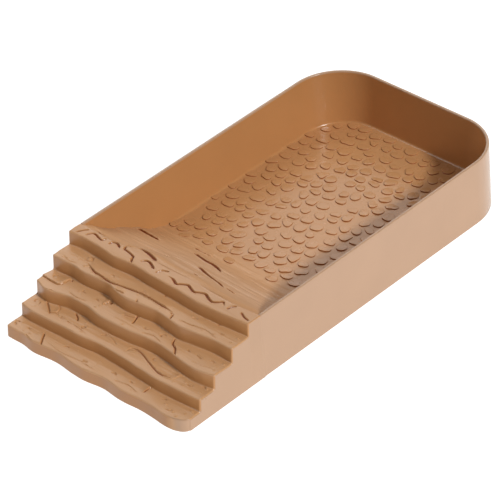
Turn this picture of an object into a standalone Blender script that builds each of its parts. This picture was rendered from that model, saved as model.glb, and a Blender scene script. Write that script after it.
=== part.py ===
"""Stepped bathing dish for a reptile: a shallow basin with a flight of wavy rock-like steps at its front.

The real dish is one hollow moulding, open beneath. It is modelled here as its regions, which meet face to
face: the three outer walls, the basin's floor, four steps, the ledge at their top, and the slope from the
ledge down into the basin. Sizes are in millimetres, and MM turns them into metres. +X is to the right of
someone who looks in over the steps, +Y points from the steps to the rear wall, +Z is up, and the origin is
under the middle.
"""

import math

import bmesh
import bpy

MM = 0.001

# the whole dish
HEIGHT = 45.0
BASE_HALF_WIDTH = 74.5
REAR_Y = 150.0
OUTER_DRAFT = 0.5  # how far each outer wall leans in between the ground and the rim
GAP = 0.3  # between two regions that meet
SKIN = 2.4  # thickness of the floor, the treads, the risers and the slope

# the walls: thin at the rim, thicker towards the ground
RIM_THICKNESS = 2.0
SIDE_TAPER = 4.4  # how far a side wall's inner face comes in between the rim and the ground
REAR_TAPER = 2.2
CORNER_RADIUS = 36.0  # of the two rear corners, on the ground
CORNER_SEGMENTS = 12
CORNER_X = BASE_HALF_WIDTH - CORNER_RADIUS
CORNER_Y = REAR_Y - CORNER_RADIUS

# the basin
FLOOR_TOP = 7.8
SLOPE_TOE_Y = -9.0

# the steps, lowest first: where each riser's top edge runs, and the height of the tread behind it
FRONT_Y = [-147.4, -134.2, -121.0, -106.2, -91.2]
TREAD_Z = [8.1, 16.6, 26.0, 35.9, 45.0]
RISER_LEAN = 0.089  # forward at the foot, for each unit of height
NOSING = 0.9  # chamfer of a tread's front edge
LEDGE_REAR_Y = -80.0
STATIONS = 36  # cross-sections along a wavy step

# how far each front edge waves, as (place across the dish, distance to the rear)
WAVES = [
    [(-74, 0.6), (-69, 0), (-62, 0.8), (-51, -1.1), (-31, 0.6), (-17, -1.0), (-9, -1.4), (8, 0.5),
     (24, -1.2), (38, -0.2), (46, -0.4), (60, -1.9), (69, -0.8), (74, 1.9)],
    [(-74, 0.6), (-66, -1.3), (-54, -0.9), (-40, -0.3), (-26, -0.2), (-10, 1.7), (8, 1.1), (24, -0.1),
     (40, -1.4), (56, -0.7), (68, -0.2), (74, 0.5)],
    [(-74, 1.4), (-64, -2.4), (-56, -0.5), (-48, 1.8), (-30, 1.7), (-22, -0.5), (-8, -0.5), (5, 0),
     (14, 1.5), (25, 2.2), (36, 1.1), (48, -1.0), (58, -2.2), (68, -1.5), (74, 0.4)],
    [(-74, 1.1), (-65, 1.2), (-57, 2.2), (-48, 0.4), (-38, 1.2), (-28, 2.2), (-18, -1.0), (-9, -2.3),
     (2, -0.8), (14, 0.8), (24, -0.6), (35, -2.2), (46, -0.8), (60, 1.2), (74, 1.1)],
    [(-74, 0.8), (-64, 2.0), (-50, 1.6), (-36, -0.1), (-20, 1.4), (0, -0.2), (16, -0.6), (36, -2.0),
     (50, -1.3), (64, 0), (74, 0.8)],
]

# the slope's upper side from the ledge down to the toe, as (y, z)
SLOPE = [(LEDGE_REAR_Y + GAP, 44.6), (-72, 38.4), (-64, 33.0), (-51, 26.0), (-38.5, 19.8), (-26.5, 12.4),
         (-18, 9.5), (SLOPE_TOE_Y - GAP, FLOOR_TOP)]

PLASTIC_COLOUR = (0.52, 0.30, 0.16, 1.0)
PLASTIC_ROUGHNESS = 0.42


def satin_plastic(part_name):
    """The tan moulded plastic, as a material of the part's own."""
    material = bpy.data.materials.new(part_name + "_plastic")
    material.use_nodes = True
    shader = material.node_tree.nodes["Principled BSDF"]
    shader.inputs["Base Color"].default_value = PLASTIC_COLOUR
    shader.inputs["Roughness"].default_value = PLASTIC_ROUGHNESS
    shader.inputs["Metallic"].default_value = 0.0
    return material


def loft(name, sections):
    """A closed solid through a row of cross-sections, each a loop of the same number of points."""
    bm = bmesh.new()
    loops = [[bm.verts.new([MM * c for c in point]) for point in section] for section in sections]
    count = len(loops[0])
    for loop, after in zip(loops, loops[1:]):
        for i in range(count):
            j = (i + 1) % count
            bm.faces.new((loop[i], loop[j], after[j], after[i]))
    bm.faces.new(loops[0])
    bm.faces.new(loops[-1])
    bmesh.ops.recalc_face_normals(bm, faces=bm.faces)
    mesh = bpy.data.meshes.new(name)
    bm.to_mesh(mesh)
    bm.free()
    mesh.shade_smooth()
    mesh.set_sharp_from_angle(angle=math.radians(30))
    mesh.materials.append(satin_plastic(name))
    part = bpy.data.objects.new(name, mesh)
    bpy.context.collection.objects.link(part)
    return part


def wave(step, x):
    """The step's wave at x: a smooth curve through its points, level at each crest and trough."""
    points = WAVES[step]
    x = min(max(x, points[0][0]), points[-1][0])
    for (x0, y0), (x1, y1) in zip(points, points[1:]):
        if x <= x1:
            t = (x - x0) / (x1 - x0)
            return y0 + (y1 - y0) * t * t * (3 - 2 * t)


def outer_x(z):
    """Half the dish's width at height z."""
    return BASE_HALF_WIDTH - OUTER_DRAFT * z / HEIGHT


def inner_x(z):
    """Half the width between the side walls at height z."""
    return BASE_HALF_WIDTH - OUTER_DRAFT - RIM_THICKNESS - SIDE_TAPER * (HEIGHT - z) / HEIGHT


def riser_foot(step):
    """How far in front of its top edge a riser meets the tread below."""
    below = TREAD_Z[step - 1] if step else 0.0
    return RISER_LEAN * (TREAD_Z[step] - below)


def side_wall(name, side):
    """A flat wall, cut away in steps at its front to carry the treads: side is -1 (left) or 1 (right)."""
    outline = []
    height = 0.0
    for step, top in enumerate(TREAD_Z):
        crests = [wave(step, side * x) for x in range(round(inner_x(0)), round(BASE_HALF_WIDTH))]
        behind_riser = FRONT_Y[step] + max(crests) + SKIN + GAP
        outline.append((behind_riser, height))
        height = top - SKIN - GAP
        outline.append((behind_riser, height))
    outline += [(LEDGE_REAR_Y + GAP, height), (LEDGE_REAR_Y + GAP, HEIGHT)]
    outline += [(CORNER_Y - GAP, HEIGHT), (CORNER_Y - GAP, 0)]
    outer = [(side * outer_x(z), y, z) for y, z in outline]
    inner = [(side * inner_x(z), y, z) for y, z in outline]
    return loft(name, [outer, inner])


def rear_wall():
    """The rear wall with its two round corners: one cross-section turned through each corner."""
    turns = [math.radians(90 * i / CORNER_SEGMENTS) for i in range(CORNER_SEGMENTS + 1)]
    places = [(1, a) for a in turns] + [(-1, a) for a in reversed(turns)]
    rim_radius = CORNER_RADIUS - OUTER_DRAFT
    inner_radius = rim_radius - RIM_THICKNESS
    rings = [(CORNER_RADIUS, CORNER_RADIUS, 0), (rim_radius, rim_radius, HEIGHT)]
    rings += [(inner_radius, inner_radius, HEIGHT), (inner_radius - SIDE_TAPER, inner_radius - REAR_TAPER, 0)]
    sections = []
    for side, angle in places:
        across, along = math.cos(angle), math.sin(angle)
        sections.append([(side * (CORNER_X + rx * across), CORNER_Y + ry * along, z) for rx, ry, z in rings])
    return loft("rear_wall", sections)


def basin_floor():
    """The floor panel, which fits inside the walls and has their round rear corners."""
    half = inner_x(FLOOR_TOP - SKIN) - GAP
    across = half - CORNER_X
    rear = REAR_Y - OUTER_DRAFT - RIM_THICKNESS - REAR_TAPER * (HEIGHT - FLOOR_TOP + SKIN) / HEIGHT - GAP
    along = rear - CORNER_Y
    turns = [math.radians(90 * i / CORNER_SEGMENTS) for i in range(CORNER_SEGMENTS + 1)]
    right = [(CORNER_X + across * math.cos(a), CORNER_Y + along * math.sin(a)) for a in turns]
    left = [(-x, y) for x, y in reversed(right)]
    outline = [(half, SLOPE_TOE_Y)] + right + left + [(-half, SLOPE_TOE_Y)]
    return loft("basin_floor", [[(x, y, z) for x, y in outline] for z in (FLOOR_TOP - SKIN, FLOOR_TOP)])


def slope():
    """The slab from the ledge down into the basin, with its ends against the side walls."""
    under = [(y - SKIN * 0.5, z - SKIN) for y, z in SLOPE[1:-1]]
    under = [(SLOPE[0][0], SLOPE[0][1] - SKIN - 1)] + under + [(SLOPE[-1][0], FLOOR_TOP - SKIN)]
    outline = SLOPE + under[::-1]
    sections = [[(side * (inner_x(z) - GAP), y, z) for y, z in outline] for side in (-1, 1)]
    return loft("slope", sections)


def step_section(step, x):
    """A step's cross-section at x: its riser, which stands on the tread below, and its tread."""
    top = TREAD_Z[step]
    foot = TREAD_Z[step - 1] + GAP if step else 0.0
    edge = FRONT_Y[step] + wave(step, x)
    front = edge - RISER_LEAN * (top - foot)
    if step < len(FRONT_Y) - 1:
        rear = FRONT_Y[step + 1] + wave(step + 1, x) - riser_foot(step + 1) + SKIN
    else:
        rear = LEDGE_REAR_Y
    return [(front, foot), (edge - RISER_LEAN * NOSING, top - NOSING), (edge + NOSING, top), (rear, top),
            (rear, top - SKIN), (edge + SKIN, top - SKIN), (front + SKIN, foot)]


def wavy_step(name, step):
    """A riser and its tread, carried across the dish along the step's wave."""
    sections = []
    for i in range(STATIONS + 1):
        share = 2 * i / STATIONS - 1
        outline = step_section(step, share * outer_x(TREAD_Z[step]))
        sections.append([(share * outer_x(z), y, z) for y, z in outline])
    return loft(name, sections)


def build():
    for old in list(bpy.data.objects):
        bpy.data.objects.remove(old)
    side_wall("left_wall", -1)
    side_wall("right_wall", 1)
    rear_wall()
    basin_floor()
    slope()
    for step in range(4):
        wavy_step(f"step_{step + 1}", step)
    wavy_step("ledge", 4)


build()
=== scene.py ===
"""The looks of the stepped reptile bathing dish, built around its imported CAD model.

The dish is one tan moulding. It is shown as four closed pieces that run into each other at their edges:
rock_steps (the four steps and the ledge), carved_slope, cobbled_floor and basin_walls. Lengths are in
millimetres, as in the CAD source, and MM turns them into metres. +X is to the right of someone who looks in
over the steps, +Y is towards the rear wall, and +Z is up.
"""

import math

import bmesh
import bpy
import numpy as np
from mathutils import Matrix, Vector


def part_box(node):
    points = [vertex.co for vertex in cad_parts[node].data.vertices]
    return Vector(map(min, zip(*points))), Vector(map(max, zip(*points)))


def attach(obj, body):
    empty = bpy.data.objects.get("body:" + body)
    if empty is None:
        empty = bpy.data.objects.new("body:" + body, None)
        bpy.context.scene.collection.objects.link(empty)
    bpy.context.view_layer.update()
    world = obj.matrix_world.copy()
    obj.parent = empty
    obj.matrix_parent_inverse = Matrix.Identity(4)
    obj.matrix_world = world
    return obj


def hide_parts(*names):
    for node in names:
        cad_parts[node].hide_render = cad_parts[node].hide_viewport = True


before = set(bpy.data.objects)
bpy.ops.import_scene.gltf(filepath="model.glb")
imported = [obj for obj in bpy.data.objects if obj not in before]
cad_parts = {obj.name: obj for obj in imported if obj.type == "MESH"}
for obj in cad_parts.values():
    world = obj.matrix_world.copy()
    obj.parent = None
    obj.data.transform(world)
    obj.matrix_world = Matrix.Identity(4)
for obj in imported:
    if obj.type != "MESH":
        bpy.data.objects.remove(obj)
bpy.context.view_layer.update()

MM = 0.001
X, Y, Z = 0, 1, 2
LOW, HIGH = 0, 1


def cad(node, end, axis):
    """Where a CAD node's box ends along an axis, in millimetres."""
    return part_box(node)[end][axis] / MM


# sizes read from the CAD model
HEIGHT = cad("rear_wall", HIGH, Z)
BASE_HALF_WIDTH = cad("rear_wall", HIGH, X)
REAR_Y = cad("rear_wall", HIGH, Y)
FLOOR_TOP = cad("basin_floor", HIGH, Z)
LEDGE_REAR_Y = cad("ledge", HIGH, Y)
TOE_Y = 0.5 * (cad("slope", HIGH, Y) + cad("basin_floor", LOW, Y))
TREAD_Z = [cad(node, HIGH, Z) for node in ("step_1", "step_2", "step_3", "step_4", "ledge")]
LEDGE = len(TREAD_Z) - 1  # the ledge's place in that list

# sizes that the CAD source has too
OUTER_DRAFT = 0.5
RIM_THICKNESS = 2.0
SIDE_TAPER = 4.4
REAR_TAPER = 2.2
CORNER_RADIUS = 36.0
CORNER_X = BASE_HALF_WIDTH - CORNER_RADIUS
CORNER_Y = REAR_Y - CORNER_RADIUS
SKIN = 2.4
RISER_LEAN = 0.089  # forward at the foot, for each unit of height
FRONT_Y = [-147.4, -134.2, -121.0, -106.2, -91.2]  # where each riser's top edge runs, lowest first
# how far each front edge waves, as (place across the dish, distance to the rear)
WAVES = [
    [(-74, 0.6), (-69, 0), (-62, 0.8), (-51, -1.1), (-31, 0.6), (-17, -1.0), (-9, -1.4), (8, 0.5),
     (24, -1.2), (38, -0.2), (46, -0.4), (60, -1.9), (69, -0.8), (74, 1.9)],
    [(-74, 0.6), (-66, -1.3), (-54, -0.9), (-40, -0.3), (-26, -0.2), (-10, 1.7), (8, 1.1), (24, -0.1),
     (40, -1.4), (56, -0.7), (68, -0.2), (74, 0.5)],
    [(-74, 1.4), (-64, -2.4), (-56, -0.5), (-48, 1.8), (-30, 1.7), (-22, -0.5), (-8, -0.5), (5, 0),
     (14, 1.5), (25, 2.2), (36, 1.1), (48, -1.0), (58, -2.2), (68, -1.5), (74, 0.4)],
    [(-74, 1.1), (-65, 1.2), (-57, 2.2), (-48, 0.4), (-38, 1.2), (-28, 2.2), (-18, -1.0), (-9, -2.3),
     (2, -0.8), (14, 0.8), (24, -0.6), (35, -2.2), (46, -0.8), (60, 1.2), (74, 1.1)],
    [(-74, 0.8), (-64, 2.0), (-50, 1.6), (-36, -0.1), (-20, 1.4), (0, -0.2), (16, -0.6), (36, -2.0),
     (50, -1.3), (64, 0), (74, 0.8)],
]

# the slope and the floor's front, as (y, z): a little rounder than the CAD's straight facets
SLOPE_PROFILE = [
    (-84, 45.6), (-80, 44.2), (-72, 38.4), (-64, 33.0), (-51, 26.0), (-38.5, 19.8), (-32.5, 15.9),
    (-26.5, 12.1), (-18, 9.4), (-10, 8.1), (0, 7.45), (8, 7.35),
]

# painted light and shade: how deep the tan is painted on each kind of surface, from 0 to 1, and the tan
# itself at OUTER, TOP, INNER and CAVITY; OUTER and SLOPE are painted light, and INNER, FRONT and CAVITY
# painted shade
OUTER, SLOPE, TOP, FLOOR, INNER, FRONT, CAVITY = 0.0, 0.22, 0.33, 0.52, 0.67, 0.72, 1.0
LIT_AND_SHADED_TANS = [(0.51, 0.31, 0.188), (0.62, 0.333, 0.152), (0.535, 0.255, 0.095), (0.27, 0.055, 0.008)]

# how close the grids' points are: spacings along an axis, and numbers of columns across
STEP_DX, STEP_DY = 0.47, 0.32
SLOPE_COLUMNS, SLOPE_DY = 308, 0.31
FLOOR_COLUMNS, FLOOR_DY = 110, 1.3


# ---------------------------------------------------------------- helpers

NOISE_COLUMNS, NOISE_ROWS = 97, 89  # after these many cells a noise repeats
FAR = 1e3  # stands for the distance to a curve that is out of reach


def smooth(t):
    """0 below 0, 1 above 1, and a smooth curve between."""
    t = np.clip(t, 0.0, 1.0)
    return t * t * (3 - 2 * t)


def noise(x, y, cell_x, cell_y, seed):
    """Smooth random heights from -1 to 1, one for each cell."""
    table = np.random.default_rng(seed).uniform(-1, 1, (NOISE_COLUMNS, NOISE_ROWS))
    u = x / cell_x + 40.0
    v = y / cell_y + 900.0
    i = np.floor(u).astype(int)
    j = np.floor(v).astype(int)
    fu = smooth(u - i)
    fv = smooth(v - j)
    i0, i1 = i % NOISE_COLUMNS, (i + 1) % NOISE_COLUMNS
    j0, j1 = j % NOISE_ROWS, (j + 1) % NOISE_ROWS
    near = table[i0, j0] * (1 - fv) + table[i0, j1] * fv
    far = table[i1, j0] * (1 - fv) + table[i1, j1] * fv
    return near * (1 - fu) + far * fu


def curve(points, step=0.35):
    """Close points along a smooth curve through a few given ones (a Catmull-Rom curve)."""
    given = np.array(points, float)
    padded = np.vstack([2 * given[0] - given[1], given, 2 * given[-1] - given[-2]])
    out = []
    for a, b, c, d in zip(padded, padded[1:], padded[2:], padded[3:]):
        count = max(2, int(np.linalg.norm(c - b) / step))
        t = np.linspace(0, 1, count, endpoint=False)[:, None]
        bend = 2 * a - 5 * b + 4 * c - d
        twist = 3 * b - a - 3 * c + d
        out.append(0.5 * (2 * b + (c - a) * t + bend * t**2 + twist * t**3))
    out.append(given[-1:])
    return np.vstack(out)


def near_curve(x, y, points, reach):
    """How far each place is from a smooth curve, how far along it (0 to 1), and on which side: + is left."""
    line = curve(points)
    distance = np.full(x.shape, FAR)
    along = np.zeros(x.shape)
    side = np.ones(x.shape)
    low = line.min(0) - reach
    high = line.max(0) + reach
    near = (x > low[0]) & (x < high[0]) & (y > low[1]) & (y < high[1])
    px = x[near][:, None]
    py = y[near][:, None]
    if px.size:
        a = line[:-1]
        d = line[1:] - a
        t = np.clip(((px - a[:, 0]) * d[:, 0] + (py - a[:, 1]) * d[:, 1]) / (d**2).sum(1), 0, 1)
        dx = px - a[:, 0] - t * d[:, 0]
        dy = py - a[:, 1] - t * d[:, 1]
        gap = np.hypot(dx, dy)
        best = gap.argmin(1)
        rows = np.arange(len(best))
        distance[near] = gap[rows, best]
        along[near] = (best + t[rows, best]) / len(a)
        side[near] = np.sign(d[best, 0] * dy[rows, best] - d[best, 1] * dx[rows, best])
    return distance, along, side


def groove(x, y, points, width=1.0, depth=0.6, taper=0.12):
    """A carved line: the depth to take away, thin at both ends."""
    distance, along, _ = near_curve(x, y, points, 2 * width)
    thin = 0.4 + 0.6 * smooth(along / taper) * smooth((1 - along) / taper)
    return depth * thin * (1 - smooth(distance / (0.5 * width * thin) - 0.35))


def lip(x, y, points, height=0.4, width=3.0, edge=0.4):
    """A low shelf on the left side of a line: steep at the line, and gone after its width."""
    distance, along, side = near_curve(x, y, points, width + 1)
    ends = smooth(along / 0.12) * smooth((1 - along) / 0.12)
    signed = distance * side
    return height * ends * smooth(signed / edge + 0.5) * (1 - smooth(signed / width))


def bump(x, y, cx, cy, radius, height):
    """A round bump, or a round pit where the height is negative."""
    return height * (1 - smooth(np.hypot(x - cx, y - cy) / radius))


def interpolate(points, t):
    """A smooth curve through points, whose slope at each is the one between its neighbours."""
    xs, ys = np.array(points, float).T
    slopes = np.gradient(ys, xs)
    i = np.clip(np.searchsorted(xs, t) - 1, 0, len(xs) - 2)
    h = xs[i + 1] - xs[i]
    u = np.clip((t - xs[i]) / h, 0, 1)
    start = (1 + 2 * u) * (1 - u) ** 2 * ys[i]
    end = u * u * (3 - 2 * u) * ys[i + 1]
    tilt = u * (1 - u) ** 2 * slopes[i] - u * u * (1 - u) * slopes[i + 1]
    return start + end + h * tilt


def wave(step, x):
    """The step's wave at x: a smooth curve near its points, averaged over a few millimetres."""
    points = np.array(WAVES[step], float)
    total = 0
    for shift in (-4, -2, 0, 2, 4):
        at = np.clip(x + shift, points[0, 0], points[-1, 0])
        i = np.clip(np.searchsorted(points[:, 0], at) - 1, 0, len(points) - 2)
        t = (at - points[i, 0]) / (points[i + 1, 0] - points[i, 0])
        total = total + points[i, 1] + (points[i + 1, 1] - points[i, 1]) * smooth(t)
    return total / 5


def outer_x(z):
    """Half the dish's width at height z."""
    return BASE_HALF_WIDTH - OUTER_DRAFT * z / HEIGHT


def inner_x(z):
    """Half the width between the side walls at height z."""
    return BASE_HALF_WIDTH - OUTER_DRAFT - RIM_THICKNESS - SIDE_TAPER * (HEIGHT - z) / HEIGHT


def make_piece(name, points, faces, nodes, shade):
    """A smooth-shaded mesh piece that rides on the dish and stands for some of its CAD nodes.

    shade says how deep the tan is painted at each point, from 0 to 1, as painted light and shade.
    """
    mesh = bpy.data.meshes.new(name)
    mesh.from_pydata((np.asarray(points, float) * MM).tolist(), [], faces)
    depth = mesh.attributes.new("shade", "FLOAT", "POINT")
    depth.data.foreach_set("value", np.asarray(shade, np.float32).ravel())
    bm = bmesh.new()
    bm.from_mesh(mesh)
    bmesh.ops.remove_doubles(bm, verts=bm.verts, dist=1e-7)
    bmesh.ops.recalc_face_normals(bm, faces=bm.faces)
    bm.edges.index_update()
    borders = []
    for edge in bm.edges:
        facing = sorted(abs(face.normal.x) for face in edge.link_faces)
        if len(facing) == 2 and facing[1] > 0.97 and facing[0] < 0.93:
            borders.append(edge.index)
    bm.to_mesh(mesh)
    bm.free()
    mesh.shade_smooth()
    mesh.set_sharp_from_angle(angle=math.radians(72))
    for index in borders:  # sharp borders keep the flat sides flat in shading
        mesh.edges[index].use_edge_sharp = True
    piece = bpy.data.objects.new(name, mesh)
    bpy.context.collection.objects.link(piece)
    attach(piece, "root")
    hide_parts(*nodes)
    return piece


def shell(top, under, rows, columns, shade):
    """A closed skin between a fine grid above and a coarse grid below, joined round their borders.

    rows and columns say which rows and columns of the fine grid the coarse grid's own ones lie under.
    """
    count_r, count_c = top.shape[:2]
    upper = np.arange(count_r * count_c).reshape(count_r, count_c)
    lower = upper.size + np.arange(len(rows) * len(columns)).reshape(len(rows), len(columns))
    faces = []
    for grid in (upper, lower):
        quads = np.stack([grid[:-1, :-1], grid[:-1, 1:], grid[1:, 1:], grid[1:, :-1]], -1)
        faces += quads.reshape(-1, 4).tolist()
    for fine, coarse, marks in ((upper[:, 0], lower[:, 0], rows), (upper[:, -1], lower[:, -1], rows),
                                (upper[0], lower[0], columns), (upper[-1], lower[-1], columns)):
        for i, (a, b) in enumerate(zip(marks, marks[1:])):
            faces.append(fine[a:b + 1].tolist() + [int(coarse[i + 1]), int(coarse[i])])
    points = np.vstack([top.reshape(-1, 3), under.reshape(-1, 3)])
    shade = np.concatenate([shade.ravel(), np.full(len(rows) * len(columns), OUTER)])
    return points, faces, shade


# ---------------------------------------------------------------- relief

def grain(x, y, seed):
    """Flowing rock or wood grain that runs across the dish."""
    flow = y + 1.6 * noise(x, y, 34, 15, seed) + 0.7 * noise(x, y, 15, 9, seed + 1)
    fine = noise(x, flow, 30, 1.3, seed + 2) + 0.55 * noise(x, flow, 14, 0.75, seed + 3)
    broad = noise(x, flow, 26, 3.4, seed + 4)
    return 0.6 * broad + 0.4 * fine


# carved lines, as (points, width, depth)
LEDGE_LINES = [
    ([(-69.5, -88.5), (-67.5, -85), (-64.8, -81.5)], 0.9, 0.9),
    ([(-63, -87), (-59.7, -82.8), (-54.7, -84), (-51.2, -84.5), (-50, -81)], 1.0, 1.2),
    ([(-61.4, -77), (-58.5, -79.4), (-54.8, -79.3), (-52.8, -77.4)], 0.8, 0.9),
    ([(-45.2, -85), (-44.5, -82), (-41.3, -81.3), (-37.4, -83.6)], 1.1, 1.3),
    ([(-36.8, -78.2), (-33.6, -77.2), (-31.7, -75.2)], 0.9, 1.0),
    ([(-36, -79), (-34, -82.6), (-31.6, -83), (-25, -84.7), (-23.5, -87.4), (-21.3, -90)], 1.0, 1.2),
    ([(-31.2, -74.4), (-24, -75.6), (-16.7, -77.6), (-10.5, -79.5)], 1.6, 1.6),
    ([(-17.8, -85.2), (-15.4, -82.8), (-12.1, -83.1), (-6.4, -86)], 1.1, 1.3),
    ([(-3, -88), (-1.3, -84.1), (2.7, -82.2)], 0.9, 1.1),
    ([(5.7, -85.8), (9, -86), (14.1, -88.3), (16.5, -87), (20.4, -85), (24, -86.2), (27.8, -87.4),
      (31.3, -85.8), (34.6, -84.8), (38.5, -86.6), (42.5, -87.8), (46, -86.2), (48.2, -84), (51.2, -86.5)],
     1.15, 1.3),
    ([(54.6, -87.6), (55.2, -84.6), (57.2, -82)], 1.05, 1.2),
    ([(63, -84.6), (67.5, -87), (72, -88)], 1.0, 1.1),
]
SLOPE_LINES = [
    ([(-67.3, -41.1), (-62, -40.8), (-47.8, -41.6)], 1.8, 2.0),
    ([(-34.7, -25.4), (-27, -25.6), (-20.3, -24.8)], 0.9, 1.1),
    ([(-25.7, -34), (-12.2, -38), (-4.2, -38.6), (5.8, -43)], 1.7, 1.8),
    ([(-4.6, -51.9), (7, -56), (18.3, -59.8), (27.2, -62.2)], 1.3, 1.6),
    ([(27.4, -60.9), (35.7, -62)], 0.8, 1.0),
    ([(-21.3, -16.4), (-12.8, -17.8)], 0.9, 1.0),
    ([(7.8, -67.5), (12.9, -68.5)], 0.7, 0.8),
    ([(-40, -60), (-28, -61.5), (-18, -61)], 0.8, 0.45),
    ([(38, -40), (50, -42), (60, -41.5)], 0.8, 0.5),
    ([(16, -30), (30, -33), (44, -33.5)], 0.8, 0.45),
]
TREAD_LINES = [
    # fourth step
    ([(-50.5, -97.9), (-42, -101.8), (-36.2, -102.5), (-26.8, -103.4), (-17.4, -101.8), (-8.9, -100.6),
      (0.9, -100.1), (11.8, -100.8), (22.3, -101.2)], 0.9, 1.2),
    ([(24.4, -102), (25.9, -106.9)], 0.8, 0.9),
    ([(9.5, -92), (8, -93.5)], 0.9, 0.7),
    ([(30, -104), (40, -103.2), (50, -101.6), (60, -103.4)], 0.5, 0.5),
    ([(-68, -101.6), (-62, -103.2), (-56, -101.8)], 0.5, 0.45),
    ([(53.7, -92.6), (52, -94)], 0.9, 0.7),
    # third step
    ([(-1.9, -105.4), (0.7, -110.5), (2.3, -115.3)], 0.9, 1.0),
    ([(31.8, -109.1), (34.3, -114.1), (38.6, -116.5), (42.7, -121.3)], 0.9, 1.0),
    ([(52.1, -112.5), (57.5, -114.2)], 0.7, 0.6),
    ([(-50, -116.2), (-42, -117.6), (-34, -116.4)], 0.5, 0.5),
    ([(12, -117.6), (20, -115.8), (28, -117.4)], 0.5, 0.45),
    ([(53.9, -119.2), (62, -118.2), (69.8, -116.7)], 0.6, 0.4),
    # second step
    ([(-64.2, -122.2), (-58, -126.5), (-52.3, -131)], 0.8, 0.8),
    ([(-41, -120.6), (-37, -122.8), (-34.3, -125.6)], 0.8, 0.9),
    ([(8.7, -128.3), (10, -123.9), (17.1, -124), (27, -127.6), (38.3, -131.2), (48.1, -130.2)], 0.85, 0.9),
    ([(-52, -126.6), (-44, -129.6), (-33, -129.4), (-22, -130.8)], 0.5, 0.45),
    ([(-16, -123.6), (-6, -124.6), (0, -127.4)], 0.5, 0.5),
    # first step
    ([(-59, -146.5), (-50.6, -149)], 0.7, 0.6),
    ([(-44, -143.2), (-30, -145.6), (-14, -144.4), (0, -145.2)], 0.5, 0.45),
    ([(14, -144.8), (24, -143), (33, -144.6)], 0.5, 0.45),
    ([(-50.1, -138.5), (-46.7, -143.9), (-43.4, -148.5)], 0.8, 0.9),
    ([(36.3, -135.7), (36, -142.6)], 0.8, 0.8),
]
# small curled marks, as (x, y, radius, where it starts, how far it turns), with angles in degrees
TREAD_CURLS = [
    # fourth step
    (-53.4, -94.2, 2.6, 200, 300), (-30, -98.6, 1.6, 20, 150), (-4, -96.4, 1.5, 190, 140),
    (38, -98.2, 1.7, 30, 160), (60, -97.6, 1.5, 200, 150),
    # third step
    (-66, -110.6, 2.0, 60, 190), (-42, -110, 1.6, 150, 170), (-31, -112.4, 1.4, 0, 150),
    (12, -112.6, 1.8, 200, 160), (25, -112.2, 1.9, 40, 230), (47, -112.2, 1.5, 160, 150),
    (64, -112.6, 1.6, 10, 160),
    # second step
    (-68, -126.6, 1.5, 100, 180), (-44, -127.2, 1.6, 190, 150), (-27.4, -127.6, 1.3, 0, 320),
    (-12, -126, 1.7, 30, 170), (27.6, -123, 1.5, 120, 200), (60, -126.8, 1.7, 200, 180),
    (68, -124.6, 1.2, 20, 150),
    # first step
    (-70.2, -141.6, 1.7, 60, 220), (-60, -140.4, 1.5, 180, 150), (-30, -140.6, 1.7, 30, 150),
    (-12, -141.8, 1.5, 200, 160), (10, -141.2, 1.8, 20, 140), (24, -139.2, 1.3, 160, 180),
    (50, -139.6, 1.5, 30, 160), (58, -143.8, 1.6, 210, 190),
]
CURL_SQUASH = 0.8  # a curl's size along y for each unit of its size along x
# raised edges, as (points, height, how wide the shelf behind the edge is), with the shelf to the line's left
PLAIN_LIPS = [
    ([(-50.5, -98.6), (-42, -102.3), (-26.8, -104), (-8.9, -101.2), (11.8, -101.4), (23, -101.8)], 0.6, 6),
    ([(8.7, -129), (17, -125.4), (27, -128.2), (38.3, -131.6), (48.1, -130.8), (50, -122)], 0.55, 5),
    ([(36.5, -142.4), (36.2, -135.6)], 0.4, 5),
    ([(-44, -148.2), (-50.6, -138.6)], 0.4, 5),
]
# raised edges with a fine carved line along them
OUTLINED_LIPS = [
    ([(-80, -114.2), (-72, -115.2), (-63.8, -115.7), (-58.6, -114.3), (-57.5, -105)], 0.85, 9),
    ([(-57, -131.2), (-50.5, -127.6), (-52, -122.6), (-58.5, -121.8), (-65, -124.5), (-64, -130)], 0.5, 3),
    ([(-24.5, -113.5), (-21.6, -107), (-12, -106)], 0.5, 4),
    ([(-8, -112.4), (-2, -110.4), (1.6, -107.6)], 0.42, 4),
]
# small bumps, as (x, y, radius, height)
TREAD_BUMPS = [
    (-53.4, -93.8, 1.7, 0.75), (-50.4, -101.5, 1.2, 0.6), (-49.2, -100, 0.9, 0.6), (-24.6, -112.6, 0.9, 0.7),
    (-25.4, -115, 0.9, 0.7), (-26.3, -117.4, 0.9, 0.7), (-59.4, -110.4, 0.9, 0.7), (-59.8, -112.6, 0.9, 0.7),
    (-61, -114, 0.9, 0.6), (-1.9, -119.5, 1.0, 0.6), (49.5, -125, 0.9, 0.6), (53.7, -141.7, 1.3, 0.7),
    (61.9, -144.6, 1.2, 0.7), (70.4, -96, 1.2, 0.8), (69.4, -101.4, 1.0, 0.8), (71, -109.5, 1.2, 0.8),
    (69.4, -114, 1.0, 0.7), (70.6, -124.4, 1.2, 0.8), (69.2, -129, 1.0, 0.7), (70.6, -137.6, 1.2, 0.8),
    (68.6, -141.6, 1.0, 0.7), (66, -146.2, 1.1, 0.6), (-45.4, -112.6, 0.8, 0.6), (20, -98, 0.8, 0.6),
]
# small pits, as (x, y, radius, depth)
TREAD_PITS = [
    (-56.2, -107.4, 1.3, 2.0), (-21.4, -108.8, 1.4, 2.0), (49.9, -122.6, 1.1, 1.6), (-27.4, -128.6, 0.9, 0.9),
    (-70.2, -143.4, 0.9, 0.8), (23, -102.4, 0.9, 1.2),
]
# finer bumps, strewn over the treads
STREWN_BUMPS = 60


def arc(x, y, radius, start, sweep):
    """Points along part of a squashed circle."""
    turns = np.radians(np.linspace(start, start + sweep, 7))
    return [(x + radius * math.cos(a), y + CURL_SQUASH * radius * math.sin(a)) for a in turns]


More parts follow.
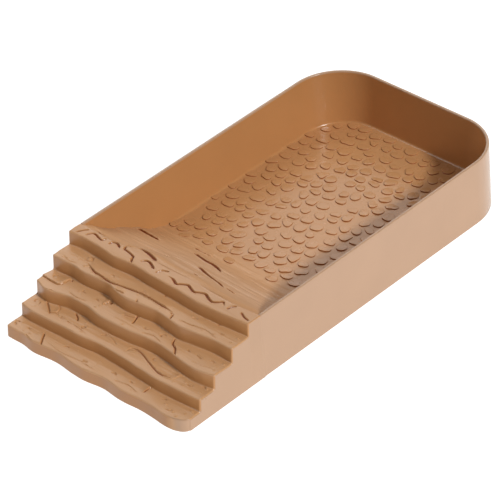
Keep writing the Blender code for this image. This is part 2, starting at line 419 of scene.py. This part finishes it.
def strewn():
    """Fine bumps at random places on the four treads."""
    rng = np.random.default_rng(11)
    steps = rng.integers(0, 4, STREWN_BUMPS)
    x = rng.uniform(-70, 71, STREWN_BUMPS)
    y = rng.uniform(2, 11, STREWN_BUMPS)
    size = rng.uniform(0.6, 0.95, STREWN_BUMPS)
    high = rng.uniform(0.3, 0.6, STREWN_BUMPS)
    return [(x[i], FRONT_Y[steps[i]] + y[i], size[i], high[i]) for i in range(STREWN_BUMPS)]


TREAD_LINES += [(arc(*curl), 0.75, 0.6) for curl in TREAD_CURLS]
TREAD_LINES += [(points, 0.55, 0.65) for points, high, width in OUTLINED_LIPS]
TREAD_BUMPS += strewn()


def carved(x, y, lines, shelf=0.0):
    """How deep the carved lines go, and how high the thin rims and the shelves beside them stand."""
    depth, rims = np.zeros_like(x), np.zeros_like(x)
    for points, width, deep in lines:
        depth = np.maximum(depth, groove(x, y, points, 1.25 * width, deep))
        rims = np.maximum(rims, 0.34 * deep * groove(x, y, points, 2.3 * width, 1.0))
        if shelf:
            rims = np.maximum(rims, lip(x, y, points, shelf * deep, 6.0, 0.6))
    if shelf:
        return depth, rims
    return depth, rims * (depth < 0.02)


def tread_relief(x, y, step):
    """How far a tread, or the ledge, stands above its plane, and how deep its carved lines are.

    The ledge falls away where the bed under it has already started down the slope.
    """
    height = 0.2 * noise(x, y, 17, 7, 20 + step) + 0.17 * grain(x, y, 30 + step)
    if step == LEDGE:
        height = height + np.minimum(bed_height(x, y) - HEIGHT, 0)
    else:
        for points, high, width in PLAIN_LIPS + OUTLINED_LIPS:
            height = height + lip(x, y, points, high, width)
        for cx, cy, radius, high in TREAD_BUMPS:
            height = height + bump(x, y, cx, cy, radius, high)
    depth, rims = carved(x, y, LEDGE_LINES if step == LEDGE else TREAD_LINES)
    for cx, cy, radius, deep in TREAD_PITS if step < LEDGE else ():
        depth = np.maximum(depth, bump(x, y, cx, cy, radius, deep))
    return height + rims - depth, depth


def bed_height(x, y):
    """The slope and the floor, as smooth surfaces: the slope's top edge wanders a little across the dish."""
    wander = 3.5 * smooth(1 - np.abs(x + 8) / 60) + 1.2 * noise(x, 0 * x, 18, 5, 71)
    shift = wander * smooth((-40 - y) / 30)
    return interpolate(SLOPE_PROFILE, y - shift) + 0.03 * noise(x, y, 6, 6, 61)


def slope_relief(x, y):
    """The slope's flowing rock, which fades out at the floor, and how deep its gashes are."""
    share = smooth((-15.5 + 1.5 * noise(x, 0 * x, 14, 5, 60) - y) / 5.0)
    ledge = smooth((-73 - y) / 6)
    strata = noise(x, y + 1.6 * noise(x, y, 34, 15, 50), 38, 5.2, 72)
    steps = 0.5 * smooth(strata * 4) + 0.35 * smooth((strata + 0.45) * 5) + 0.3 * smooth((strata - 0.45) * 5)
    rock = (1 - ledge) * (0.65 * steps + 0.26 * grain(x, y, 50)) + 0.12 * ledge * grain(x, y, 34)
    depth, rims = carved(x, y, SLOPE_LINES, 0.5)
    ledge_depth, ledge_rims = carved(x, y, LEDGE_LINES)
    depth = np.maximum(depth, ledge_depth)
    return share * (rock + rims + ledge_rims - depth), share * depth


PEBBLE_PITCH = 10.15
PEBBLE_FIRST_Y = -18.5  # of the row nearest the slope
PEBBLE_ROW_SHARE = 0.87  # from one row to the next, for each unit of the pitch
PEBBLE_GAP = 1.5  # between neighbours
PEBBLE_SIDES = 32
PEBBLE_FOOT_SHADE = 0.42  # how much deeper the tan is painted at a pebble's foot: painted shade
NO_NEIGHBOUR = 99  # a pebble's room where nothing stands in the way
# a pebble's rings from its foot to near its centre, as (inset, share of its radius, share of its height); a
# negative height is in millimetres below the floor
PEBBLE_RINGS = [
    (-0.1, 1, -0.6), (0.0, 1, 0.02), (0.08, 1, 0.72), (0.17, 1, 0.93), (0.36, 1, 1.0), (0.36, 0.7, 1.06),
    (0.36, 0.35, 1.12),
]


def pebble_sites(rng):
    """Where the pebbles stand: staggered rows, each site moved a little at random."""
    sites = []
    for row in range(21):
        for col in range(-7, 8):
            x = (col + 0.5 * (row % 2)) * PEBBLE_PITCH
            sites.append((x, PEBBLE_FIRST_Y + row * PEBBLE_ROW_SHARE * PEBBLE_PITCH))
    return np.array(sites) + rng.uniform(-0.27, 0.27, (len(sites), 2)) * PEBBLE_PITCH


def pebble_outlines(sites, way, angles, rng):
    """Each pebble's radius in each direction, kept clear of its neighbours, and each one's height."""
    count = len(sites)
    size = rng.uniform(3.2, 5.2, count)
    turn = rng.normal(0.3, 0.6, count)
    stretch = rng.uniform(0.95, 1.45, count)
    corner = rng.uniform(0, 2 * math.pi, count)
    pointed = rng.uniform(0.02, 0.17, count)
    tall = rng.uniform(0.36, 0.52, count)
    apart = sites[None] - sites[:, None]
    distance = np.linalg.norm(apart, axis=2)[..., None] + 1e-9
    facing = apart @ way
    room = 0.5 * (distance**2 - PEBBLE_GAP * distance) / np.maximum(facing, 0.01)
    border = np.where(facing > 0.01, room, NO_NEIGHBOUR)
    border = np.where(distance < 0.1, NO_NEIGHBOUR, border).min(1)
    local = angles - turn[:, None]
    own = size[:, None] / np.hypot(np.cos(local) / stretch[:, None], np.sin(local) * stretch[:, None])
    own = own * (1 + pointed[:, None] * np.cos(3 * (angles - corner[:, None])))
    radius = (own**-7 + border**-7) ** (-1 / 7)
    for _ in range(2):
        radius = 0.5 * radius + 0.25 * (np.roll(radius, 1, 1) + np.roll(radius, -1, 1))
    return radius, tall


def on_floor(sites):
    """Which sites are inside the walls and behind the steep part of the slope."""
    inside = np.abs(sites[:, 0]) < inner_x(FLOOR_TOP) - 0.6
    past_x = np.maximum(np.abs(sites[:, 0]) - CORNER_X, 0)
    past_y = np.maximum(sites[:, 1] - CORNER_Y, 0)
    inside &= np.hypot(past_x, past_y) < 30.0
    inside &= sites[:, 1] > -17.5 + 2.0 * np.sin(sites[:, 0] / 9.0)
    return np.flatnonzero(inside)


def pebble_mesh():
    """The floor's pebbles, as points, faces and shades: painted shade at the foot of each one's front side.
    """
    rng = np.random.default_rng(7)
    sites = pebble_sites(rng)
    angles = np.linspace(0, 2 * math.pi, PEBBLE_SIDES, endpoint=False)
    way = np.stack([np.cos(angles), np.sin(angles)])
    radius, tall = pebble_outlines(sites, way, angles, rng)
    front_side = smooth(0.5 + 0.6 * (0.5 * way[0] - 0.85 * way[1]))
    points, faces, shades = [], [], []
    for i in on_floor(sites):
        first = len(points)
        for inset, share, level in PEBBLE_RINGS:
            reach = (radius[i] - inset) * share
            x, y = sites[i, 0] + reach * way[0], sites[i, 1] + reach * way[1]
            lean = 1 - 0.75 * way[1] * reach / np.maximum(radius[i], 1.0)
            z = bed_height(x, y) + (tall[i] * level * lean if level > 0 else level)
            points += np.stack([x, y, z], 1).tolist()
            # painted shade on the lower rings of each pebble's front side
            shades += (FLOOR + PEBBLE_FOOT_SHADE * front_side * (level < 0.9)).tolist()
        top = bed_height(sites[i, :1], sites[i, 1:])[0] + tall[i] * 1.14
        points.append([sites[i, 0], sites[i, 1], top])
        shades.append(FLOOR)
        last = first + (len(PEBBLE_RINGS) - 1) * PEBBLE_SIDES
        centre = last + PEBBLE_SIDES
        for k in range(PEBBLE_SIDES):
            after = (k + 1) % PEBBLE_SIDES
            for ring in range(first, last, PEBBLE_SIDES):
                faces.append([ring + k, ring + after, ring + PEBBLE_SIDES + after, ring + PEBBLE_SIDES + k])
            faces.append([last + k, last + after, centre])
        faces.append([first + k for k in reversed(range(PEBBLE_SIDES))])
    return points, faces, shades


# ---------------------------------------------------------------- pieces

NOSE_RADIUS = 1.0
FOOT_RADIUS = 0.5  # where a riser stands on the tread below
SIDE_RADIUS = 0.8
RISER_ROWS = 9
FRONT_CORNER = 5.0  # radius of the lowest step's right front corner, seen from above
CORNER_BLUNTING = 0.97  # just under 1, so that the corner's arc stops short of running straight back
FRONT_MARGIN = 2.52  # how far in front of the lowest riser's mean edge the visual may reach
TALLEST_RELIEF = 0.9  # above a tread or a nosing
NOSING_HIGHLIGHT = 0.2  # how much lighter the tan is painted along a nosing: a painted highlight
SIDE_SKIN_X = 72.3  # half the width of the hollow under the steps
FOOT_LEAN = 0.7  # how far the hollow's side of a riser leans forward at its foot
UNDER_COLUMNS = 25

BED_UNDER_ROWS, BED_UNDER_COLUMNS = 13, 9
INTO_WALL = 0.8  # how far the floor and the slope run into the walls
WALL_RIM = 0.75  # radius of the rim's rounding
WALL_FOOT = 1.4  # radius of the rounding where the walls' inner face meets the floor
# the hollow under the walls, as (distance in from the outer face, z)
WALL_HOLLOW = [(3.6, 16.0), (2.8, 24.0), (2.3, 14.0), (2.2, 0.0)]


def front_edge(step, x):
    """Where the top edge of a step's riser runs."""
    past = np.clip(x - (outer_x(0) - FRONT_CORNER), 0, FRONT_CORNER) if step == 0 else 0 * x
    corner = FRONT_CORNER - np.sqrt(FRONT_CORNER**2 - CORNER_BLUNTING * past**2)
    return FRONT_Y[step] + wave(step, x) + corner


def step_columns():
    """The steps' grid places across the dish, and how far each is sunk, to round the two sides."""
    inner = outer_x(HEIGHT) - SIDE_RADIUS
    across = np.linspace(-inner, inner, int(2 * inner / STEP_DX))
    turn = np.radians([25, 50, 70, 90])
    out = SIDE_RADIUS * np.sin(turn)
    sunk = SIDE_RADIUS * (1 - np.cos(turn))
    columns = np.concatenate([-inner - out[::-1], across, inner + out])
    return columns, np.concatenate([sunk[::-1], np.zeros(len(across)), sunk])


def step_rows(columns):
    """The smooth steps in rows, from the lowest riser's foot to the ledge's rear.

    The result is each row's y and z, how much it faces up (from 0 to 1) and its step, and then the numbers of
    the first row and of each row where a riser or a tread ends.
    """
    rows, marks = [], [0]
    for step, top in enumerate(TREAD_Z):
        edge = front_edge(step, columns)
        foot = TREAD_Z[step - 1] + FOOT_RADIUS if step else 0.0
        for z in np.linspace(foot, top - NOSE_RADIUS, RISER_ROWS):
            rows.append((edge - RISER_LEAN * (top - z), np.full_like(edge, z), 0.0, step))
        for a in np.radians([18, 36, 54, 72, 90]):
            y = edge - RISER_LEAN * NOSE_RADIUS + NOSE_RADIUS * (1 - np.cos(a))
            z = np.full_like(edge, top - NOSE_RADIUS + NOSE_RADIUS * np.sin(a))
            rows.append((y, z, math.sin(a), step))
        marks.append(len(rows) - 1)
        front = rows[-1][0]
        if step < LEDGE:
            rise = TREAD_Z[step + 1] - top
            stop = FRONT_Y[step + 1] + wave(step + 1, columns) - RISER_LEAN * rise - FOOT_RADIUS
        else:
            stop = np.full_like(edge, LEDGE_REAR_Y)
        count = int(np.max(stop - front) / STEP_DY)
        for share in np.linspace(0, 1, count + 1)[1:]:
            rows.append((front + (stop - front) * share, np.full_like(edge, top), 1.0, step))
        if step < LEDGE:
            for a in np.radians([30, 60]):
                z = np.full_like(edge, top + FOOT_RADIUS * (1 - np.cos(a)))
                rows.append((stop + FOOT_RADIUS * np.sin(a), z, math.cos(a), step))
        marks.append(len(rows) - 1)
    y, z, up, level = map(np.array, zip(*rows))
    return y, z, up, level, marks


def steps_relief(x, y, z, up, level):
    """How far the steps stand out from their smooth surface, and how deep their carved lines are."""
    relief, cut = np.zeros_like(x), np.zeros_like(x)
    for step in range(len(TREAD_Z)):
        at = level == step
        tread, depth = tread_relief(x[at], y[at], step)
        riser = 0.10 * noise(x[at], z[at], 8, 14, 40 + step) + 0.03 * noise(x[at], z[at], 3, 4, 45 + step)
        share = up[at][:, None] ** 2
        relief[at] = share * tread + (1 - share) * riser
        cut[at] = share * depth
    return np.minimum(relief, np.where(up > 0, TALLEST_RELIEF, FAR)[:, None]), cut


def steps_shade(x, up, level, cut):
    """Painted shade of the steps: by riser or tread, painted highlights on nosings, deepest in carved lines.
    """
    # painted shade: the risers deeper than the treads
    riser = np.where(level > 0, INNER, FRONT)
    tread = np.where(level < LEDGE, TOP, FLOOR)
    shade = (riser + (tread - riser) * smooth(up * 1.6 - 0.3))[:, None] + np.zeros_like(x)
    # a painted highlight along each nosing
    nosing = np.where((up > 0) & (up < 1), 4 * up * (1 - up), 0)
    shade = shade - NOSING_HIGHLIGHT * nosing[:, None]
    # painted light on the right end of the lowest riser, as on the side beside it
    right_corner = (level == 0)[:, None] * smooth((x - 60) / 10) * (up < 1)[:, None]
    shade = shade + (OUTER - shade) * right_corner
    # painted shade in the carved lines
    shade = shade + (CAVITY - shade) * smooth((cut - 0.25) / 0.65)
    # the two ends get the outer faces' painted light
    shade[:, [0, -1]] = OUTER
    return shade


def steps_underside(x):
    """The hollow under the steps, one row under each riser's foot and top, its ends carried to the ground."""
    x = np.clip(x, -SIDE_SKIN_X, SIDE_SKIN_X)
    rows = [(FRONT_Y[0] + wave(0, x) + SKIN - FOOT_LEAN, 0.0)]
    for step, top in enumerate(TREAD_Z):
        rows.append((FRONT_Y[step] + wave(step, x) + SKIN, top - SKIN))
        if step < LEDGE:
            rows.append((FRONT_Y[step + 1] + wave(step + 1, x) + SKIN - FOOT_LEAN, top - SKIN))
        else:
            rows.append((np.full_like(x, LEDGE_REAR_Y), top - SKIN))
    under = []
    for y, z in rows:
        line = np.stack([x, y, np.full_like(x, z)], -1)
        under.append(np.vstack([line[:1] * (1, 1, 0), line, line[-1:] * (1, 1, 0)]))
    return np.array(under)


def rock_steps():
    """The four steps and the ledge as one skin, with its two ends carried down to the ground."""
    columns, sink = step_columns()
    y, z, up, level, marks = step_rows(columns)
    x = np.broadcast_to(columns, y.shape).copy()
    relief, cut = steps_relief(x, y, z, up, level)
    z = np.minimum(z + up[:, None] * (relief - sink), HEIGHT)
    y = y - np.sqrt(1 - up**2)[:, None] * (relief - sink)
    y = np.maximum(y, FRONT_Y[0] - FRONT_MARGIN)
    x = np.sign(x) * np.minimum(np.abs(x), outer_x(z))
    x[:, 0] = -outer_x(z[:, 0])
    x[:, -1] = outer_x(z[:, -1])
    ground = np.zeros(len(y))
    left = np.stack([ground - BASE_HALF_WIDTH, y[:, 0], ground], -1)[:, None]
    right = np.stack([ground + BASE_HALF_WIDTH, y[:, -1], ground], -1)[:, None]
    top = np.concatenate([left, np.stack([x, y, z], -1), right], 1)
    picks = np.linspace(0, len(columns) - 1, UNDER_COLUMNS).astype(int)
    under_columns = [0] + (picks + 1).tolist() + [len(columns) + 1]
    # the sides down to the ground get the outer faces' painted light
    sides = np.full((len(y), 1), OUTER)
    shade = np.concatenate([sides, steps_shade(x, up, level, cut), sides], 1)
    points, faces, shade = shell(top, steps_underside(columns[picks]), marks, under_columns, shade)
    return make_piece("rock_steps", points, faces, ["step_1", "step_2", "step_3", "step_4", "ledge"], shade)


def bed(y_rows, half_width, columns, relief, shade):
    """A part of the slope and floor, which runs into the walls at its sides: points, faces and shades."""
    y = np.repeat(y_rows[:, None], columns, 1)
    x = half_width[:, None] * np.linspace(-1, 1, columns)
    height, depth = relief(x, y)
    z = np.minimum(bed_height(x, y) + height, HEIGHT - 0.05)
    rows = np.linspace(0, len(y_rows) - 1, BED_UNDER_ROWS).astype(int).tolist()
    picks = np.linspace(0, columns - 1, BED_UNDER_COLUMNS).astype(int).tolist()
    ux, uy = x[np.ix_(rows, picks)], y[np.ix_(rows, picks)]
    uz = np.maximum(np.minimum(bed_height(ux, uy), HEIGHT - 0.3) - SKIN, FLOOR_TOP - SKIN)
    top = np.stack([x, y, z], -1)
    under = np.stack([ux, uy, uz], -1)
    # painted shade in the carved lines
    shades = shade(y) + (CAVITY - shade(y)) * smooth((depth - 0.15) / 0.6)
    return shell(top, under, rows, picks, shades)


def carved_slope():
    """The slope from the ledge down to the floor."""
    y_rows = np.linspace(LEDGE_REAR_Y, TOE_Y, int((TOE_Y - LEDGE_REAR_Y) / SLOPE_DY))
    half = inner_x(np.minimum(interpolate(SLOPE_PROFILE, y_rows), HEIGHT)) + INTO_WALL

    # a painted reflection: the slope's tan is painted lighter than the floor's
    def shade(y):
        return np.interp(y, (-80, -70, -45, -20, -9), (FLOOR, SLOPE, SLOPE, TOP, FLOOR))

    points, faces, shades = bed(y_rows, half, SLOPE_COLUMNS, slope_relief, shade)
    return make_piece("carved_slope", points, faces, ["slope"], shades)


def cobbled_floor():
    """The floor with its round rear corners, and the pebbles on it."""
    rear = REAR_Y - OUTER_DRAFT - RIM_THICKNESS - REAR_TAPER * (HEIGHT - FLOOR_TOP) / HEIGHT + INTO_WALL
    y_rows = np.linspace(TOE_Y, rear, int((rear - TOE_Y) / FLOOR_DY))
    side = inner_x(FLOOR_TOP) + INTO_WALL
    past = np.clip((y_rows - CORNER_Y) / (rear - CORNER_Y), 0, 1)
    half = CORNER_X + (side - CORNER_X) * np.sqrt(1 - past**2)

    def relief(x, y):
        return 0 * x, 0 * x

    def shade(y):
        return np.full_like(y, FLOOR)

    points, faces, shades = bed(y_rows, half, FLOOR_COLUMNS, relief, shade)
    more_points, more_faces, more_shades = pebble_mesh()
    faces += [[i + len(points) for i in face] for face in more_faces]
    points = np.vstack([points, more_points])
    shades = np.concatenate([shades, more_shades])
    return make_piece("cobbled_floor", points, faces, ["basin_floor"], shades)


def outer_ring(z, inset=0.0):
    """The walls' outer face at height z: its radii at a rear corner, across and along, and z."""
    radius = CORNER_RADIUS - OUTER_DRAFT * z / HEIGHT - inset
    return (radius, radius, z)


def inner_ring(z, inset=0.0):
    """The walls' inner face at height z, in the same way."""
    down = (HEIGHT - z) / HEIGHT
    radius = CORNER_RADIUS - OUTER_DRAFT - RIM_THICKNESS
    return (radius - SIDE_TAPER * down - inset, radius - REAR_TAPER * down - inset, z)


def wall_section():
    """The walls' cross-section, as rings, and the number of its first ring on the inner face."""
    rim_turns = np.radians([0, 20, 45, 70, 90])
    foot_turns = np.radians([0, 20, 40, 60, 80])
    base = FLOOR_TOP - 0.5
    ring = [outer_ring(0, 0.35), outer_ring(0.35)]
    ring += [outer_ring(z) for z in np.linspace(4, HEIGHT - WALL_RIM - 1.5, 10)]
    for a in rim_turns:
        ring.append(outer_ring(HEIGHT - WALL_RIM * (1 - math.sin(a)), WALL_RIM * (1 - math.cos(a))))
    for a in rim_turns:
        ring.append(inner_ring(HEIGHT - WALL_RIM * (1 - math.cos(a)), -WALL_RIM * (1 - math.sin(a))))
    inner_from = len(ring)
    ring += [inner_ring(z) for z in np.linspace(HEIGHT - WALL_RIM - 0.3, base + WALL_FOOT + 1, 10)]
    for a in foot_turns:
        ring.append(inner_ring(base + WALL_FOOT * (1 - math.sin(a)), WALL_FOOT * (1 - math.cos(a))))
    ring += [inner_ring(base - 0.4, WALL_FOOT), inner_ring(FLOOR_TOP - SKIN, WALL_FOOT - 0.3)]
    ring.append(inner_ring(FLOOR_TOP - SKIN - 0.2))
    ring += [(CORNER_RADIUS - inset, CORNER_RADIUS - inset, z) for inset, z in WALL_HOLLOW]
    return np.array(ring), inner_from


def basin_walls():
    """The two side walls and the rear wall: one cross-section carried round the basin."""
    ring, inner_from = wall_section()
    rx, ry, z = ring.T
    sections = []
    for y in np.linspace(LEDGE_REAR_Y, CORNER_Y, 25)[:-1]:
        sections.append(np.stack([CORNER_X + rx, np.full_like(z, y), z], -1))
    for a in np.radians(np.linspace(0, 90, 31)):
        sections.append(np.stack([CORNER_X + rx * math.cos(a), CORNER_Y + ry * math.sin(a), z], -1))
    for x in np.linspace(CORNER_X, 0, 7)[1:]:
        sections.append(np.stack([np.full_like(z, x), CORNER_Y + ry, z], -1))
    right_half = np.array(sections)
    left_half = right_half[-2::-1] * (-1, 1, 1)
    sections = np.concatenate([right_half, left_half])
    count, size = sections.shape[:2]
    grid = np.arange(count * size).reshape(count, size)
    after = np.roll(grid, -1, 1)
    faces = np.stack([grid[:-1], after[:-1], after[1:], grid[1:]], -1).reshape(-1, 4).tolist()
    faces += [grid[0].tolist(), grid[-1].tolist()]
    # painted light on the walls' outer face, and painted shade on their inner face
    shade = np.full((count, size), OUTER)
    shade[:, inner_from:] = INNER
    nodes = ["left_wall", "right_wall", "rear_wall"]
    return make_piece("basin_walls", sections.reshape(-1, 3), faces, nodes, shade)


# ---------------------------------------------------------------- material

def satin_plastic(name, least_rough, most_rough):
    """Tan satin plastic with faint mottling, a fine moulded grain and uneven gloss.

    The tan follows each point's painted light and shade, from OUTER to CAVITY.
    """
    material = bpy.data.materials.new(name)
    material.use_nodes = True
    nodes, links = material.node_tree.nodes, material.node_tree.links
    shader = nodes["Principled BSDF"]
    where = nodes.new("ShaderNodeTexCoord")

    def noise_node(scale, detail):
        node = nodes.new("ShaderNodeTexNoise")
        node.inputs["Scale"].default_value = scale
        node.inputs["Detail"].default_value = detail
        links.new(where.outputs["Object"], node.inputs["Vector"])
        return node

    patches = noise_node(28, 4)
    mottle = nodes.new("ShaderNodeValToRGB")
    for end, (position, share) in zip(mottle.color_ramp.elements, ((0.3, 0.95), (0.7, 1.0))):
        end.position = position
        end.color = (share, share, share, 1)
    links.new(patches.outputs["Fac"], mottle.inputs["Fac"])

    shade = nodes.new("ShaderNodeAttribute")
    shade.attribute_name = "shade"
    tan = nodes.new("ShaderNodeValToRGB")
    tan.color_ramp.elements.new(TOP)
    tan.color_ramp.elements.new(INNER)
    for end, colour in zip(tan.color_ramp.elements, LIT_AND_SHADED_TANS):
        end.color = (*colour, 1)
    links.new(shade.outputs["Fac"], tan.inputs["Fac"])

    mix = nodes.new("ShaderNodeMix")
    mix.data_type = "RGBA"
    mix.blend_type = "MULTIPLY"
    mix.inputs[0].default_value = 1.0
    colour_a, colour_b = [socket for socket in mix.inputs if socket.type == "RGBA"]
    result = [socket for socket in mix.outputs if socket.type == "RGBA"][0]
    links.new(tan.outputs["Color"], colour_a)
    links.new(mottle.outputs["Color"], colour_b)
    links.new(result, shader.inputs["Base Color"])

    gloss = noise_node(90, 3)
    spread = nodes.new("ShaderNodeMapRange")
    spread.inputs["To Min"].default_value = least_rough
    spread.inputs["To Max"].default_value = most_rough
    links.new(gloss.outputs["Fac"], spread.inputs["Value"])
    links.new(spread.outputs["Result"], shader.inputs["Roughness"])

    fine = noise_node(2600, 2)
    texture = nodes.new("ShaderNodeBump")
    texture.inputs["Strength"].default_value = 0.12
    texture.inputs["Distance"].default_value = 0.08 * MM
    links.new(fine.outputs["Fac"], texture.inputs["Height"])
    links.new(texture.outputs["Normal"], shader.inputs["Normal"])
    return material


# ---------------------------------------------------------------- stage

CAMERA_AZIMUTH, CAMERA_ELEVATION, CAMERA_ROLL = 45.502, 36.198, -4.396  # degrees
CAMERA_PLACE = (1155.3, -1146.9, 1203.9)
CAMERA_LENS, SENSOR_WIDTH = 238.23, 36

SUN_ENERGY, SUN_ELEVATION, SUN_WIDTH = 2.15, 38.9, 7  # from the right; the angles are in degrees
PANEL_DISTANCE = 1.5  # metres from the middle
# soft panels, as (name, direction, size in metres, watts)
PANELS = [
    ("backdrop", (-0.576, 0.566, 0.591), 1.5, 10.9),
    ("overhead", (-0.56, -0.24, 0.79), 0.6, 2.5),
    ("front_fill", (0.1, -0.92, 0.3), 1.0, 1.4),
]
ROOM_BRIGHTNESS = 0.1
TABLE_HALF_WIDTH = 6.0  # metres
TABLE_DROP = 0.0002  # metres below the dish, so that the two don't share a plane
TABLE_GREY = 0.3
TABLE_GLOW = 0.92


def camera():
    """The photograph's view: from the front right, above the steps."""
    azimuth, elevation, roll = map(math.radians, (CAMERA_AZIMUTH, CAMERA_ELEVATION, CAMERA_ROLL))
    level = math.cos(elevation)
    back = Vector((math.sin(azimuth) * level, -math.cos(azimuth) * level, math.sin(elevation)))
    right = Vector((math.cos(azimuth), math.sin(azimuth), 0))
    up = back.cross(right)
    turned_right = right * math.cos(roll) + up * math.sin(roll)
    turned_up = up * math.cos(roll) - right * math.sin(roll)
    pose = Matrix((turned_right, turned_up, back)).transposed().to_4x4()
    pose.translation = Vector(CAMERA_PLACE) * MM
    data = bpy.data.cameras.new("camera")
    data.lens = CAMERA_LENS
    data.sensor_width = SENSOR_WIDTH
    data.clip_start, data.clip_end = 0.05, 50
    cam = bpy.data.objects.new("camera", data)
    cam.matrix_world = pose
    bpy.context.collection.objects.link(cam)
    bpy.context.scene.camera = cam


def lights():
    """A key light from the right, three soft panels round the dish, and a dim white room."""
    key = bpy.data.lights.new("key", "SUN")
    key.energy = SUN_ENERGY
    key.angle = math.radians(SUN_WIDTH)
    lamp = bpy.data.objects.new("key", key)
    lamp.rotation_euler = (0, math.radians(90 - SUN_ELEVATION), 0)
    bpy.context.collection.objects.link(lamp)
    for name, direction, size, watts in PANELS:
        towards = Vector(direction)
        panel = bpy.data.lights.new(name, "AREA")
        panel.size = size
        panel.energy = watts
        lamp = bpy.data.objects.new(name, panel)
        lamp.location = PANEL_DISTANCE * towards
        lamp.rotation_euler = towards.to_track_quat("Z", "Y").to_euler()
        bpy.context.collection.objects.link(lamp)
    world = bpy.data.worlds.new("room")
    world.use_nodes = True
    background = world.node_tree.nodes["Background"]
    background.inputs["Color"].default_value = (1, 1, 1, 1)
    background.inputs["Strength"].default_value = ROOM_BRIGHTNESS
    bpy.context.scene.world = world
    bpy.context.scene.view_settings.view_transform = "Standard"


def floor():
    """A plain white table, which glows a little, so that it stays as white as the photograph's ground."""
    half = TABLE_HALF_WIDTH
    corners = [(-half, -half, 0), (half, -half, 0), (half, half, 0), (-half, half, 0)]
    mesh = bpy.data.meshes.new("table")
    mesh.from_pydata(corners, [], [(0, 1, 2, 3)])
    table = bpy.data.objects.new("table", mesh)
    table.location.z = -TABLE_DROP
    bpy.context.collection.objects.link(table)
    material = bpy.data.materials.new("white_table")
    material.use_nodes = True
    shader = material.node_tree.nodes["Principled BSDF"]
    shader.inputs["Base Color"].default_value = (TABLE_GREY, TABLE_GREY, TABLE_GREY, 1)
    shader.inputs["Roughness"].default_value = 0.8
    shader.inputs["Emission Color"].default_value = (1, 1, 1, 1)
    shader.inputs["Emission Strength"].default_value = TABLE_GLOW
    mesh.materials.append(material)


camera()
lights()
floor()
# each piece, with the least and the most roughness of its plastic
for make, least_rough, most_rough in (
    (rock_steps, 0.25, 0.36),
    (carved_slope, 0.40, 0.52),
    (cobbled_floor, 0.22, 0.32),
    (basin_walls, 0.18, 0.28),
):
    piece = make()
    piece.data.materials.append(satin_plastic(piece.name + "_plastic", least_rough, most_rough))
